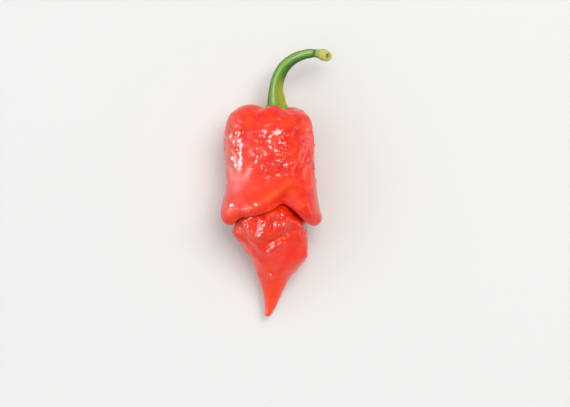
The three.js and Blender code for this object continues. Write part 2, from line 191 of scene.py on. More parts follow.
TAIL_STROKES = [
    ((128, 33.2), (121, 35.8), 0.85, 1.1),
    ((104, 36.6), (109, 37.8), 0.85, 1.05),
    ((112, 33.6), (112, 36.4), -0.45, 0.9),
    ((99, 33.0), (96, 34.2), 0.8, 1.0),
    ((91, 30.6), (89, 31.6), 0.5, 1.4),
    ((84, 32.8), (88, 36.2), -0.5, 1.0),
    ((75, 30.2), (72, 31.6), 0.6, 1.3),
    ((72, 35.0), (60, 32.6), 0.75, 1.0),
    ((99, 39.2), (67, 37.0), -1.0, 0.9),
    ((98, 41.2), (74, 39.6), 0.7, 1.05),
    ((60, 36.2), (42, 34.8), -0.45, 1.1),
    ((64, 31.0), (36, 34.0), 1.1, 2.0),
    ((150, 31.4), (116, 31.6), 1.2, 2.0),
    ((43, 37.2), (39, 38), 0.5, 1.4),
    ((118, 39.6), (115, 41.6), 0.6, 1.2),
    ((112, 43.6), (104, 43.2), -0.35, 0.9),
    ((98, 44.4), (96, 45.6), 0.45, 1.3),
    ((112, 48.8), (92, 48.6), 0.35, 0.9),
    ((136, 43.4), (130, 45.4), 0.35, 1.2),
    ((160, 33.4), (150, 37.6), 0.45, 1.5),
    ((26, 39.6), (24, 42.6), 0.9, 2.4),
    ((180, 36), (184, 39), 0.4, 1.6),
    ((200, 36), (212, 42), 0.6, 2.0),
    ((262, 36), (278, 41), 0.6, 2.2),
    ((296, 38), (262, 39.4), -0.45, 1.0),
    ((340, 36), (346, 41), 0.5, 2.0),
    ((196, 41.6), (176, 45), -0.35, 1.0),
]

# Small smooth wrinkles on the upper side, each flat at its middle so that it mirrors a light: sideways,
# station and half-width.
HOOD_WRINKLES = [(-10.6, 28.4, 0.6), (-3.9, 28.2, 0.85), (9.4, 28.7, 0.7)]
TAIL_WRINKLES = [
    (-6.9, 33.9, 0.55), (-5.2, 33.1, 0.5), (-5.1, 35.7, 0.9), (-2.8, 36.9, 0.7), (-1.5, 33.8, 0.65),
    (2.4, 29.9, 0.6), (3.6, 30.9, 0.5), (4.2, 33.4, 0.7), (-0.6, 41.3, 0.65), (0.1, 48.3, 0.8),
]
# How glossy the wrinkles are, and between which shares of a wrinkle's flatness that gloss comes in.
WRINKLE_GLOSS = 1.45
WRINKLE_EDGE = (0.1, 0.6)
# The slopes at which the skin mirrors the small light overhead and the one on the left.
MIRROR_SLOPES = np.array([(-0.094, -0.104), (0.527, -0.038)])

# Broad blisters, small pimples, fine grain and the lumps of the tail, each with its height by station.
BLISTER_SPACING = 3.4
BLISTER_WAVES = 7
BLISTER_HEIGHT = [
    (0, 0.03), (3, 0.05), (7, 0.08), (11, 0.12), (19, 0.12), (25, 0.03), (34, 0.04), (44, 0.03), (50, 0),
]
PIMPLE_SPACING = 1.75
PIMPLE_SEED = 11
PIMPLE_HEIGHT = [
    (0, 0.05), (3, 0.12), (6, 0.18), (9, 0.28), (12, 0.32), (17.5, 0.32), (19.5, 0.1), (21, 0.02),
    (34, 0.01), (POD_LENGTH, 0),
]
GRAIN_SPACING = 0.9
GRAIN_SEED = 37
GRAIN_HEIGHT = [
    (0, 0.02), (4, 0.06), (17, 0.06), (20, 0.01), (31, 0.02), (34, 0.06), (42, 0.06), (50, 0.01),
    (POD_LENGTH, 0),
]
TAIL_LUMP_SPACING = 2.2
TAIL_LUMP_SEED = 23
TAIL_LUMP_HEIGHT = [(28, 0.1), (32, 0.2), (40, 0.2), (45, 0.14), (50, 0.06), (54, 0.02), (POD_LENGTH, 0)]

# Patches of skin: a bearing, a station, a half-width in degrees and in length, and how strong. The pod is
# dull round the roll, on the left of the flare, on its left lobe, down a strip of the barrel and near the
# shoulders, and the tail is dull on its left. The same strip has hardly any pimples. The bloom is a pale
# waxy haze down both sides of the barrel, with softer edges.
DULL_HOOD = [
    (76, 25, 38, 5.5, 1.0), (132, 23.2, 35, 5.1, 1.0), (138, 31, 40, 4.0, 0.85), (115, 12.5, 6, 7.5, 0.9),
    (95, 5.2, 20, 2.0, 0.8),
]
DULL_TAIL = [(156, 35.8, 17, 3.2, 1.0)]
SMOOTH_SKIN = [(114, 12, 7.5, 9, 0.8)]
BLOOM = [
    (176, 12, 30, 12, 0.95), (151, 20, 27, 4.5, 0.85), (163, 26, 25, 5, 0.85), (176, 31, 22, 4, 0.35),
    (2, 14, 24, 13, 0.6), (28, 17, 17, 12, 0.45),
]
PATCH_CRISPNESS = 4
BLOOM_CRISPNESS = 2.6
# Heights above the floor between which the pod's pressed underside gains its bumps.
PRESSED_HEIGHTS = (0.2, 1.4)

# The stalk's middle line from the fruit outwards: sideways, outwards from the crest plane, and height.
STALK_PATH = [
    (HOLLOW_SIDEWAYS, SEAT_GAP - HOLLOW_DEPTH, 11.9),
    (2.0, 0, 12.0),
    (1.85, 2.2, 12.25),
    (1.75, 4.2, 12.5),
    (2.0, 6.3, 12.8),
    (2.7, 8.6, 13.05),
    (4.1, 11.1, 13.2),
    (6.2, 13.0, 13.25),
    (8.9, 14.35, 13.2),
    (12.2, 15.0, 13.05),
    (15.0, 14.65, 12.8),
    (16.75, 14.2, 12.5),
]
# Each row is a radius and a share of the stalk's length. The end is hollow and its rim is swollen.
STEM_OUTLINE = [
    (0, 0),
    (1.6, 0),
    (CALYX_RADIUS - 0.8, 0.012),
    (CALYX_RADIUS, 0.046),
    (CALYX_RADIUS - 0.25, 0.076),
    (CALYX_RADIUS - 0.56, 0.096),
    (CALYX_RADIUS - 0.68, 0.111),
    (CALYX_RADIUS - 0.75, 0.127),
    (STEM_RADIUS + 0.65, 0.162),
    (STEM_RADIUS + 0.3, 0.215),
    (STEM_RADIUS + 0.1, 0.28),
    (STEM_RADIUS, 0.37),
    (STEM_RADIUS - 0.15, 0.5),
    (STEM_RADIUS - 0.35, 0.62),
    (STEM_RADIUS - 0.5, 0.73),
    (STEM_RADIUS - 0.58, 0.81),
    (STEM_RADIUS - 0.75, 0.8446),
    (STEM_RADIUS - 0.62, 0.868),
    (STEM_RADIUS - 0.58, 0.895),
    (STEM_RADIUS - 0.22, 0.925),
    (STEM_RADIUS - 0.12, 0.955),
    (STEM_RADIUS - 0.35, 0.986),
    (STEM_RADIUS - 0.75, 1),
    (STEM_RADIUS - 1.15, 0.99),
    (STEM_RADIUS - 1.45, 0.966),
    (0, 0.958),
]
# Shares of the length between which the calyx's collar ends, and the swollen end, its slanting break and
# its pith begin, and the radii at which the pith ends and the ribs begin.
COLLAR_ENDS = (0.08, 0.11)
BULB_BEGINS = (0.87, 0.93)
BREAK_BEGINS = (0.862, 0.98)
PITH_BEGINS = (0.9, 0.98)
PITH_RADII = (0.25, 0.9)
RIB_RADII = (0.5, 1.2)
STALK_RIBS = 5
STALK_RIB_HEIGHT = 0.12
CALYX_RIB_HEIGHT = 0.22
COLLAR_RIB_SHARE = 0.3
COLLAR_RIB_START = 1.5
BULB_SMOOTHNESS = 0.7
STALK_TWIST = 1.1
# Fine lengthwise lines of the stalk: how many round it, their lean and where each set starts.
FINE_LINES = [(9, 5, 0.4), (14, -7, 2.1), (23, 9, 4.0)]
FINE_LINE_HEIGHT = 0.022

# The red skin: its colours, a painted orange highlight along the roll, a painted brighter red on the tail
# where it slopes from the light, where along the pod the tail's and the tip's begin, and how fast they come
# in.
RED_CLOUDS = [(0.36, (0.64, 0.01, 0.0015)), (0.5, (0.71, 0.021, 0.002)), (0.64, (0.79, 0.042, 0.003))]
RED_SPECKLE = [(0.35, (0.85, 0.8, 0.8)), (0.65, (1, 1, 1))]
RED_SPECKLE_SHARE = 0.5
# Painted highlight: an orange glow along the roll ridge where it faces the light.
ROLL_PAINTED_HIGHLIGHT = (0.94, 0.095, 0.012)
ROLL_PAINTED_HIGHLIGHT_SHARE = 0.45
# Painted light: the tail is painted a brighter red, so that it looks as lit as the body though it slopes
# away from the key.
TAIL_PAINTED_LIGHT_RED = (0.88, 0.024, 0.003)
TAIL_PAINTED_LIGHT_FROM = 36
TAIL_PAINTED_LIGHT_GAIN = 0.08
TAIL_PAINTED_LIGHT_MOST = 0.6
TIP_ORANGE = (0.92, 0.12, 0.03)
TIP_ORANGE_FROM = 48
TIP_ORANGE_GAIN = 0.03
CLOUD_SCALE = 260
SPECKLE_SCALE = 1100
PORE_SCALE = 1500
SHEEN_LEAST = 0.2
SHEEN_FROM_BLOOM = 0.8
COAT_MOST = 0.55
ROUGHNESS_WHEN_DULL = 0.56
ROUGHNESS_FROM_GLOSS = -0.22
ROUGHNESS_FROM_BLOOM = 0.12
POD_FINISH = {
    "Coat IOR": 1.5,
    "Coat Roughness": 0.09,
    "Subsurface Weight": 0.15,
    "Subsurface Radius": (1.0, 0.12, 0.06),
    "Subsurface Scale": 0.0015,
}
PORE_RELIEF = {"Strength": 0.25, "Distance": 0.0001}

# The green skin: colours from the inner side of the curve to the outer, with painted shade at the edges and
# a painted pale reflection band, lines along it, the olive side of its base, tints along it, painted pale
# highlight lines on its upper part, the dark ring and the pith.
STREAK_STRETCH = (2.2, 2.2, 1.4)
STREAK_SCALE = 2.0
STREAK_WANDER = 0.24
# Painted shade and reflection: dark green at both edges and on the inner side of the curve, and a pale band
# towards the outer side where a light is reflected.
GREEN_PAINTED_SHADE_ACROSS = [
    (0.02, (0.03, 0.1, 0.005)), (0.25, (0.055, 0.16, 0.008)), (0.5, (0.12, 0.26, 0.02)),
    (0.7, (0.23, 0.39, 0.08)), (0.84, (0.17, 0.33, 0.04)), (0.97, (0.11, 0.25, 0.02)),
]
GREEN_LINES = [(0.36, (0.5, 0.6, 0.4)), (0.5, (0.92, 0.94, 0.9)), (0.66, (1, 1, 1))]
OLIVE = (0.38, 0.35, 0.02)
OLIVE_MOST = 0.85
OLIVE_ACROSS = [(0.12, 1), (0.5, 0.3), (0.7, 0)]
OLIVE_ALONG = [(0.0, 1), (0.28, 0.85), (0.42, 0)]
TINTS_ALONG = [
    (0.0, (0.2, 0.26, 0.03)), (0.11, (0.16, 0.27, 0.03)), (0.832, (0.2, 0.28, 0.05)),
    (0.862, (0.27, 0.36, 0.1)), (0.893, (0.28, 0.34, 0.07)), (0.93, (0.42, 0.43, 0.07)),
    (1.0, (0.5, 0.48, 0.12)),
]
TINTED_ALONG = [(0.0, 0.6), (0.14, 0), (0.84, 0), (0.862, 0.7), (0.922, 0.88)]
# Painted highlight: pale lines on the upper part of the stalk, by side, length and streak.
PAINTED_HIGHLIGHT_GREEN = (0.4, 0.52, 0.32)
PAINTED_HIGHLIGHT_MOST = 0.6
PAINTED_HIGHLIGHT_ACROSS = [(0.3, 0), (0.44, 1), (0.6, 1), (0.72, 0)]
PAINTED_HIGHLIGHT_ALONG = [(0.5, 0), (0.66, 1), (0.81, 1), (0.835, 0)]
PAINTED_HIGHLIGHT_STREAKS = [(0.4, 0), (0.56, 1)]
RING_GREEN = (0.025, 0.035, 0.008)
RING_ACROSS = [(0.15, 0.3), (0.6, 0.95)]
RING_ALONG = [(0.832, 0), (0.842, 1), (0.849, 1), (0.858, 0)]
PITH_BROWN = (0.1, 0.06, 0.012)
PITH_MOST = 0.85
STEM_FINISH = {
    "Roughness": 0.42,
    "Specular IOR Level": 0.18,
    "Coat Weight": 0.03,
    "Coat Roughness": 0.18,
    "Subsurface Weight": 0.1,
    "Subsurface Radius": (0.4, 1.0, 0.2),
    "Subsurface Scale": 0.0008,
}
STREAK_RELIEF = {"Strength": 0.4, "Distance": 0.0002}

# The photograph's frame: the view looks straight down on the point named here.
VIEW_CENTRE = (2.426, -5.582)
VIEW_WIDTH = 163.6
VIEW_DISTANCE = 380.0
VIEW_LEVEL = 12.0
SENSOR_WIDTH = 36
CAMERA_SEES = (0.01, 20)  # metres

# The floor and the studio, in metres.
FLOOR_HALF = 2.0
FLOOR_FINISH = {"Base Color": (0.63, 0.625, 0.61, 1), "Roughness": 0.9, "Specular IOR Level": 0.1}
LIGHT_TARGET = Vector((0, 0, 0.01))
STUDIO_GLOW = [(0.0, (0.92, 0.94, 0.96)), (0.35, (0.58, 0.59, 0.61)), (0.8, (0.32, 0.33, 0.34))]
WARM = (1, 0.985, 0.96)
CLEAR = (0.98, 0.99, 1)
COOL = (0.95, 0.97, 1)
# Each light: its name, place, width and height, power and colour. Some only shade and others only shine.
SHADING_LIGHTS = [
    ("key", (0.42, 0.5, 1.55), (0.95, 0.95), 24, WARM),
    ("sky", (-0.9, 0.0, 1.6), (2.6, 2.6), 18, CLEAR),
]
SHINING_LIGHTS = [
    ("spark", (0.3, 0.33, 1.6), (0.42, 0.42), 14.0, COOL),
    ("front_spark", (0.15, -0.75, 1.3), (0.2, 0.2), 2.0, COOL),
    ("left_pane", (-1.12, 0.08, 0.78), (0.3, 1.0), 25.4, (0.94, 0.97, 1)),
    ("left_glow", (-1.5, -0.1, 0.7), (1.6, 1.3), 34, (0.96, 0.97, 1)),
    ("right_glow", (1.5, 0.0, 0.24), (1.4, 0.45), 4, (1, 0.98, 0.96)),
]


def smoothstep(x, low, high):
    u = np.clip((x - low) / (high - low), 0, 1)
    return u * u * (3 - 2 * u)


def along_rows(rows, t):
    """Rows of numbers on the smooth curve through rows, mirrored past the ends across the axis."""
    rows = np.asarray(rows, float)
    flip = np.ones(rows.shape[1])
    flip[0] = -1
    padded = np.vstack([rows[1] * flip, rows, rows[-2] * flip])
    i = np.clip(np.floor(t).astype(int), 0, len(rows) - 2)
    u = (t - i)[:, None]
    a, b, c, d = (padded[i + k] for k in range(4))
    return b + 0.5 * u * (c - a + u * (2 * a - 5 * b + 4 * c - d + u * (3 * (b - c) + d - a)))


def evenly_spaced(rows, count, density=((0, 1), (1, 1))):
    """Where along rows each of count + 1 points lies, spaced by radius and station and by density."""
    t = np.linspace(0, len(rows) - 1, 6000)
    line = along_rows(rows, t)[:, :2]
    steps = np.hypot(*np.diff(line, axis=0).T) * smooth_through(density, 0.5 * (t[1:] + t[:-1]))
    reach = np.concatenate([[0], np.cumsum(steps)])
    return np.interp(np.linspace(0, reach[-1], count + 1), reach, t)


def smooth_through(keys, at):
    """Smooth values at the places named, through keys of (place, value), level outside them."""
    place, value = np.asarray(keys, float).T
    last = len(place) - 1
    at = np.clip(at, place[0], place[-1])
    i = np.clip(np.searchsorted(place, at) - 1, 0, last - 1)
    before, after = np.maximum(i - 1, 0), np.minimum(i + 2, last)
    step = place[i + 1] - place[i]
    rise = (value[i + 1] - value[before]) / (place[i + 1] - place[before]) * step
    fall = (value[after] - value[i]) / (place[after] - place[i]) * step
    u = (at - place[i]) / step
    mixed = value[i] * (1 + 2 * u) * (1 - u) ** 2 + value[i + 1] * (3 - 2 * u) * u * u
    return mixed + rise * u * (1 - u) ** 2 - fall * u * u * (1 - u)


def round_through(keys, bearing):
    turned = [(k[0] - 360, k[1]) for k in keys[-2:]] + list(keys) + [(k[0] + 360, k[1]) for k in keys[:2]]
    return smooth_through(turned, np.mod(bearing, 360))


def turn_between(a, b):
    return np.mod(a - b + 180, 360) - 180


def furrow_depth(furrows, bearing, station):
    depth = np.zeros_like(station)
    for path, depths, width in furrows:
        away = turn_between(bearing, smooth_through(path, station)) / width
        depth += smooth_through(depths, station) * np.exp(-away * away)
    return depth


def stroke_height(strokes, bearing, station, radius):
    arc = np.radians(radius)
    height = np.zeros_like(station)
    for start, end, rise, width in strokes:
        across = arc * turn_between(end[0], start[0])
        along = end[1] - start[1]
        x = arc * turn_between(bearing, start[0])
        y = station - start[1]
        share = np.clip((x * across + y * along) / (across**2 + along**2), 0, 1)
        away = np.hypot(x - share * across, y - share * along) / width
        height += rise * np.exp(-away * away)
    return height


def patches(spots, bearing, station, crispness=PATCH_CRISPNESS):
    """How strongly each point lies in soft-edged patches, from 0 to 1."""
    clear = np.ones(len(station))
    for middle, place, turn, length, strength in spots:
        away = np.hypot(turn_between(bearing, middle) / turn, (station - place) / length)
        clear *= 1 - strength * np.exp(-(away**crispness))
    return 1 - clear


def blisters(points):
    """Plane waves of one length in directions spread over a sphere add up to evenly spaced bumps."""
    golden = math.pi * (3 - math.sqrt(5))
    total = np.zeros(len(points))
    for i in range(BLISTER_WAVES):
        up = (i + 0.5) / BLISTER_WAVES
        out = math.sqrt(1 - up * up)
        way = np.array([out * math.cos(golden * i), out * math.sin(golden * i), up])
        total += np.cos(2 * math.pi * (points @ way) / BLISTER_SPACING + 1.7 * i)
    return total / math.sqrt(BLISTER_WAVES)


def chance(cells, seed):
    """Steady pseudo-random numbers from 0 to 1 for whole-number cells."""
    mixed = (cells[:, 0] * 73856093) ^ (cells[:, 1] * 19349663) ^ (cells[:, 2] * 83492791) ^ (seed * 2654435)
    mixed &= 0xFFFFFFFF
    for _ in range(2):
        mixed = ((mixed ^ (mixed >> 15)) * 0x2C1B3C6D) & 0xFFFFFFFF
        mixed ^= mixed >> 12
    return mixed / 0xFFFFFFFF


def domes(points, spacing, seed, reach=0.72):
    """Rounded bumps of uneven size, about one in each cell of the spacing."""
    grid = points / spacing
    cell = np.floor(grid).astype(np.int64)
    height = np.zeros(len(points))
    for step in itertools.product((-1, 0, 1), repeat=3):
        home = cell + np.array(step)
        spot = home + 0.1 + 0.8 * np.stack([chance(home, seed + k) for k in (1, 2, 3)], 1)
        size = 0.55 + 0.45 * chance(home, seed + 4)
        away = np.linalg.norm(grid - spot, axis=1) / (reach * size)
        height += size * np.clip(1 - away**2, 0, 1) ** 2
    return height


def wrinkles(places, points, normals, shown):
    """Height changes that flatten small spots at the nearest mirror slope, and where the spots are."""
    height = np.zeros(len(points))
    clear = np.ones(len(points))
    for sideways, station, width in places:
        x, y = points[:, 0] - sideways, points[:, 1] + station
        window = shown * np.exp(-((x * x + y * y) ** 2) / width**4)
        share = window / window.sum()
        facing = share @ normals
        slope = -facing[:2] / facing[2]
        slope = MIRROR_SLOPES[np.argmin(np.hypot(*(MIRROR_SLOPES - slope).T))]
        level = points[:, 2] @ share + slope[0] * (x - x @ share) + slope[1] * (y - y @ share)
        height += (level - points[:, 2]) * window
        clear *= 1 - window
    return height, 1 - clear


def round_blank(name, segments, rings):
    """A closed ball from bmesh, with each vertex's ring and its angle round the axis."""
    bm = bmesh.new()
    bmesh.ops.create_uvsphere(bm, u_segments=segments, v_segments=rings, radius=1)
    mesh = bpy.data.meshes.new(name)
    bm.to_mesh(mesh)
    bm.free()
    piece = bpy.data.objects.new(name, mesh)
    bpy.context.scene.collection.objects.link(piece)
    ball = read_points(mesh)
    ring = np.rint(np.arccos(np.clip(ball[:, 2], -1, 1)) / math.pi * rings).astype(int)
    return piece, ring, -np.arctan2(ball[:, 1], ball[:, 0])


def read_points(mesh):
    flat = np.empty(len(mesh.vertices) * 3)
    mesh.vertices.foreach_get("co", flat)
    return flat.reshape(-1, 3)


def write_points(mesh, points):
    mesh.vertices.foreach_set("co", points.ravel())
    mesh.update()


def outward(mesh):
    flat = np.empty(len(mesh.vertices) * 3)
    mesh.vertex_normals.foreach_get("vector", flat)
    return flat.reshape(-1, 3)


def mark(mesh, name, values):
    """Stores a number, or three, at each vertex for the piece's material."""
    kind = "FLOAT" if values.ndim == 1 else "FLOAT_VECTOR"
    field = "value" if values.ndim == 1 else "vector"
    mesh.attributes.new(name, kind, "POINT").data.foreach_set(field, values.ravel())


def settle(piece, points, node):
    """Places points in the frame, no larger than the node's own box, and shades the piece smooth."""
    placed = (points + np.array([*FRUIT_PLACE, 0])) * MM
    low, high = (np.array(corner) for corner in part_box(node))
    share = (placed - placed.min(0)) / np.ptp(placed, axis=0)
    write_points(piece.data, low + share * (high - low))
    piece.data.shade_smooth()


def shape_pod():
    """The pod: a ball moved ring by ring to the outline, then its fine bumps raised along its normals."""
    piece, ring, angle = round_blank("chilli_pod", POD_SEGMENTS, POD_RINGS)
    t = evenly_spaced(OUTLINE, POD_RINGS, RING_DENSITY)[ring]
    bearing = np.degrees(angle)
    radius, station, hem_share, barrel_share = along_rows(OUTLINE, t).T
    spread = smoothstep(np.abs(radius), *SPREAD_RADII)
    crest = np.exp(-((station / CREST_LENGTH) ** 2)) * smoothstep(radius, *CREST_STARTS)
    hung = hem_share * (round_through(HEM, bearing) - HEM_STATION)
    placed = station + hung - crest * round_through(SHOULDER_CREST, bearing)
    barrel = stroke_height(BARREL_STROKES, bearing, placed, radius)
    barrel -= furrow_depth(BARREL_FURROWS, bearing, placed)
    tail = stroke_height(TAIL_STROKES, bearing, placed, radius)
    tail -= furrow_depth(TAIL_FURROWS, bearing, placed)
    corners = np.abs(np.cos(angle)) ** BARREL_SQUARENESS + np.abs(np.sin(angle)) ** BARREL_SQUARENESS
    squared = radius * (corners ** (-1 / BARREL_SQUARENESS) - 1)
    shaped = radius + spread * (barrel_share * (barrel + squared) + (1 - barrel_share) * tail)
    hollow = HOLLOW_SIDEWAYS * (1 - smoothstep(t, *HOLLOW_OPENS))
    points = np.stack([
        smooth_through(AXIS_SIDEWAYS, placed) + hollow + shaped * np.cos(angle),
        -placed,
        smooth_through(AXIS_HEIGHT, placed) + HEIGHT_SHARE * shaped * np.sin(angle),
    ], 1)
    write_points(piece.data, points)

    normals = outward(piece.data)
    outside = smoothstep(barrel_share, *OUTSIDE_SHARES)
    clear_of_hood = smoothstep(t, *TAIL_CLEARS)
    upper = smoothstep(np.sin(angle), *UPPER_SIDE)
    hood_wrinkle, on_hood = wrinkles(HOOD_WRINKLES, points, normals, upper * outside)
    tail_wrinkle, on_tail = wrinkles(TAIL_WRINKLES, points, normals, upper * clear_of_hood)
    wrinkled = np.maximum(on_hood, on_tail)
    free = smoothstep(points[:, 2], *PRESSED_HEIGHTS)
    open_skin = 1 - np.exp(-(((t - FOLD_MIDDLE) / FOLD_REACH) ** 2))
    broad = smooth_through(BLISTER_HEIGHT, placed) * blisters(points)
    bumpy = outside * (1 - patches(SMOOTH_SKIN, bearing, placed))
    pimples = bumpy * smooth_through(PIMPLE_HEIGHT, placed) * domes(points, PIMPLE_SPACING, PIMPLE_SEED)
    lumps = clear_of_hood * smooth_through(TAIL_LUMP_HEIGHT, placed)
    lumps *= domes(points, TAIL_LUMP_SPACING, TAIL_LUMP_SEED)
    grain = smooth_through(GRAIN_HEIGHT, placed) * domes(points, GRAIN_SPACING, GRAIN_SEED)
    rise = free * open_skin * (broad + (pimples + lumps + grain) * (1 - wrinkled))
    points = points + normals * rise[:, None]
    points[:, 2] += hood_wrinkle + tail_wrinkle
    points[:, 2] = np.maximum(points[:, 2], 0)
    settle(piece, points, "pod")

    # Where the roll ridge stands, for its painted orange highlight.
    roll_highlight_share = stroke_height([ROLL_RIDGE], bearing, placed, radius) / ROLL_RIDGE[2]
    mark(piece.data, "roll_painted_highlight", outside * roll_highlight_share)
    mark(piece.data, "station", placed)
    dull = outside * patches(DULL_HOOD, bearing, placed)
    dull += (1 - outside) * patches(DULL_TAIL, bearing, placed)
    in_fold = smoothstep(t, *FOLD_BEGINS) * (1 - smoothstep(t, *FOLD_ENDS))
    gloss = (1 - dull) * (1 - in_fold)
    gloss += (WRINKLE_GLOSS - gloss) * smoothstep(wrinkled, *WRINKLE_EDGE)
    mark(piece.data, "gloss", gloss)
    mark(piece.data, "bloom", outside * patches(BLOOM, bearing, placed, BLOOM_CRISPNESS))
    return piece


def stalk_line(points, count=3000):
    """Places on a centripetal curve through the points, how far along it they are, and its directions."""
    points = np.asarray(points, float)
    ends = [2 * points[0] - points[1], 2 * points[-1] - points[-2]]
    padded = np.vstack([ends[0], points, ends[1]])
    knots = np.concatenate([[0], np.cumsum(np.linalg.norm(np.diff(padded, axis=0), axis=1) ** 0.5)])
    line = []
    for i in range(1, len(padded) - 2):
        k0, k1, k2, k3 = knots[i - 1:i + 3]
        p0, p1, p2, p3 = padded[i - 1:i + 3]
        k = np.linspace(k1, k2, count // len(points), endpoint=i == len(padded) - 3)[:, None]
        a1 = ((k1 - k) * p0 + (k - k0) * p1) / (k1 - k0)
        a2 = ((k2 - k) * p1 + (k - k1) * p2) / (k2 - k1)
        a3 = ((k3 - k) * p2 + (k - k2) * p3) / (k3 - k2)
        b1 = ((k2 - k) * a1 + (k - k0) * a2) / (k2 - k0)
        b2 = ((k3 - k) * a2 + (k - k1) * a3) / (k3 - k1)
        line.append(((k2 - k) * b1 + (k - k1) * b2) / (k2 - k1))
    line = np.vstack(line)
    reach = np.concatenate([[0], np.cumsum(np.linalg.norm(np.diff(line, axis=0), axis=1))])
    ahead = np.gradient(line, reach, axis=0)
    return line, reach, ahead / np.linalg.norm(ahead, axis=1, keepdims=True)


def shape_stem():
    """The stem: a ball drawn out along the stalk's line, with ribs and a slanting broken end."""
    piece, ring, angle = round_blank("chilli_stem", STEM_SEGMENTS, STEM_RINGS)
    line, reach, directions = stalk_line(STALK_PATH)
    length = reach[-1]
    rows = [(radius, share * length) for radius, share in STEM_OUTLINE]
    radius, along = along_rows(rows, evenly_spaced(rows, STEM_RINGS)[ring]).T
    share = np.clip(along / length, 0, 1)
    middle = np.stack([np.interp(share * length, reach, line[:, k]) for k in range(3)], 1)
    ahead = np.stack([np.interp(share * length, reach, directions[:, k]) for k in range(3)], 1)
    side = np.cross([0, 0, 1], ahead)
    side /= np.linalg.norm(side, axis=1, keepdims=True)
    top = np.cross(ahead, side)
    collar = 1 - smoothstep(share, *COLLAR_ENDS)
    faded = 1 - BULB_SMOOTHNESS * smoothstep(share, *BULB_BEGINS)
    rib_height = STALK_RIB_HEIGHT + (CALYX_RIB_HEIGHT - STALK_RIB_HEIGHT) * collar
    rib = rib_height * np.cos(STALK_RIBS * angle + STALK_TWIST * share) * faded
    rib += COLLAR_RIB_SHARE * rib_height * np.cos(2 * STALK_RIBS * angle + COLLAR_RIB_START) * collar
    for count, lean, start in FINE_LINES:
        rib += FINE_LINE_HEIGHT * np.sin(count * angle + lean * share + start)
    full = radius + rib * smoothstep(radius, *RIB_RADII)
    broken = CUT_SLANT * smoothstep(share, *BREAK_BEGINS) * full * np.sin(angle)
    points = (
        middle
        + ahead * (along - share * length - broken)[:, None]
        + side * (full * np.cos(angle))[:, None]
        + top * (full * np.sin(angle))[:, None]
    )
    settle(piece, points, "stem")
    mark(piece.data, "stalk", np.stack([np.cos(angle), np.sin(angle), share], 1))
    mark(piece.data, "pith", smoothstep(share, *PITH_BEGINS) * (1 - smoothstep(radius, *PITH_RADII)))
    return piece


def new_material(name):
    material = bpy.data.materials.new(name)
    material.use_nodes = True
    nodes = material.node_tree.nodes
    nodes.clear()
    shader = nodes.new("ShaderNodeBsdfPrincipled")
    output = nodes.new("ShaderNodeOutputMaterial")
    material.node_tree.links.new(shader.outputs["BSDF"], output.inputs["Surface"])
    return material, nodes, material.node_tree.links, shader


def set_values(node, values):
    for socket, value in values.items():
        node.inputs[socket].default_value = value


def add_relief(nodes, links, shader, height, relief):
    bump = nodes.new("ShaderNodeBump")
    set_values(bump, relief)
    links.new(height, bump.inputs["Height"])
    links.new(bump.outputs["Normal"], shader.inputs["Normal"])


def noise_node(nodes, links, vector, scale, detail, roughness=0.5):
    node = nodes.new("ShaderNodeTexNoise")
    node.inputs["Scale"].default_value = scale
    node.inputs["Detail"].default_value = detail
    node.inputs["Roughness"].default_value = roughness
    links.new(vector, node.inputs["Vector"])
    return node.outputs["Fac"]


def ramp_node(nodes, links, value, stops):
    node = nodes.new("ShaderNodeValToRGB")
    ramp = node.color_ramp
    while len(ramp.elements) < len(stops):
        ramp.elements.new(0.5)
    for element, (place, colour) in zip(ramp.elements, stops):
        element.position = place
        element.color = (*colour, 1)
    links.new(value, node.inputs["Fac"])
    return node.outputs["Color"]


def fade_node(nodes, links, value, steps):
    return ramp_node(nodes, links, value, [(place, (strength,) * 3) for place, strength in steps])


def mix_node(nodes, links, share, first, second, blend="MIX"):
    node = nodes.new("ShaderNodeMix")
    node.data_type = "RGBA"
    node.blend_type = blend
    for socket, source in (("Factor", share), ("A", first), ("B", second)):
        target = next(s for s in node.inputs if s.name == socket and s.enabled)
        if isinstance(source, bpy.types.NodeSocket):
            links.new(source, target)
        elif socket == "Factor":
            target.default_value = source
        else:
            target.default_value = (*source, 1)
    return next(s for s in node.outputs if s.enabled)


def maths_node(nodes, links, operation, *sources):
    node = nodes.new("ShaderNodeMath")
    node.operation = operation
    for target, source in zip(node.inputs, sources):
        if isinstance(source, bpy.types.NodeSocket):
            links.new(source, target)
        else:
            target.default_value = source
    return node.outputs["Value"]


def attribute_node(nodes, name):
    node = nodes.new("ShaderNodeAttribute")
    node.attribute_name = name
    return node


